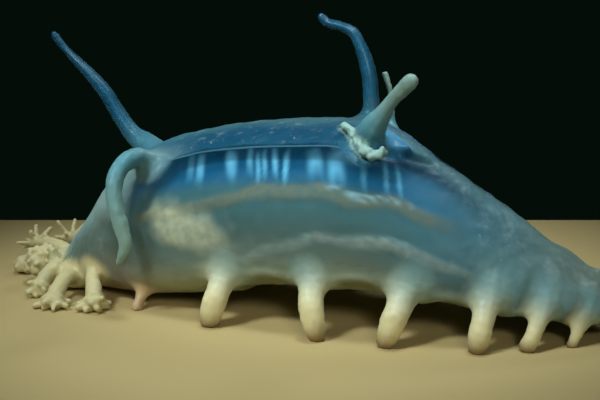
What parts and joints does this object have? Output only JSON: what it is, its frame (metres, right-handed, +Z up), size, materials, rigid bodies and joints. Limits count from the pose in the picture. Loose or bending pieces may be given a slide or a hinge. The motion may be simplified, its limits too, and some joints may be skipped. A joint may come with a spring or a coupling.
{
  "type": "sea cucumber model",
  "caption": "Still model of a deep-sea walking sea cucumber with a plump see-through body, tube feet, long back feelers and a ring of mouth tentacles.",
  "frame": {"origin": "middle of the whole model's length and breadth, on the plane that its feet stand on", "axes": "+Z up, +X towards the tail with the head at -X, +Y towards the animal's right side"},
  "size_m": [0.1346, 0.049, 0.0571],
  "materials": {
    "body_skin": "moist gelatinous skin, translucent, with the deep blue body cavity and the sand-filled gut showing through",
    "feeler_skin": "moist translucent skin over a dark blue water canal",
    "foot_skin": "moist milky skin, cream at the soles",
    "mouth_flesh": "moist cream-yellow flesh, red-brown inside the mouth"
  },
  "bodies": {
    "root": {"head": "body_skin", "trunk_front": "body_skin", "trunk_middle": "body_skin", "trunk_rear": "body_skin", "tail": "body_skin", "papilla_front_left_1": "feeler_skin", "papilla_front_left_2": "feeler_skin", "papilla_front_left_3": "feeler_skin", "papilla_front_right_1": "feeler_skin", "papilla_front_right_2": "feeler_skin", "papilla_rear_right_1": "feeler_skin", "papilla_rear_right_2": "feeler_skin", "papilla_rear_right_3": "feeler_skin", "papilla_rear_left": "feeler_skin", "papilla_small_right": "feeler_skin", "foot_left_1": "foot_skin", "foot_left_2": "foot_skin", "foot_left_3": "foot_skin", "foot_left_4": "foot_skin", "foot_left_5": "foot_skin", "foot_left_6": "foot_skin", "foot_left_7": "foot_skin", "foot_right_1": "foot_skin", "foot_right_2": "foot_skin", "foot_right_3": "foot_skin", "foot_right_4": "foot_skin", "foot_right_5": "foot_skin", "foot_right_6": "foot_skin", "foot_right_7": "foot_skin", "papilla_curled_left": "mouth_flesh", "mouth_collar": "mouth_flesh", "tentacle_1": "mouth_flesh", "tentacle_2": "mouth_flesh", "tentacle_3": "mouth_flesh", "tentacle_4": "mouth_flesh", "tentacle_5": "mouth_flesh", "tentacle_6": "mouth_flesh", "tentacle_7": "mouth_flesh", "tentacle_8": "mouth_flesh", "tentacle_9": "mouth_flesh", "tentacle_10": "mouth_flesh"}
  },
  "joints": []
}
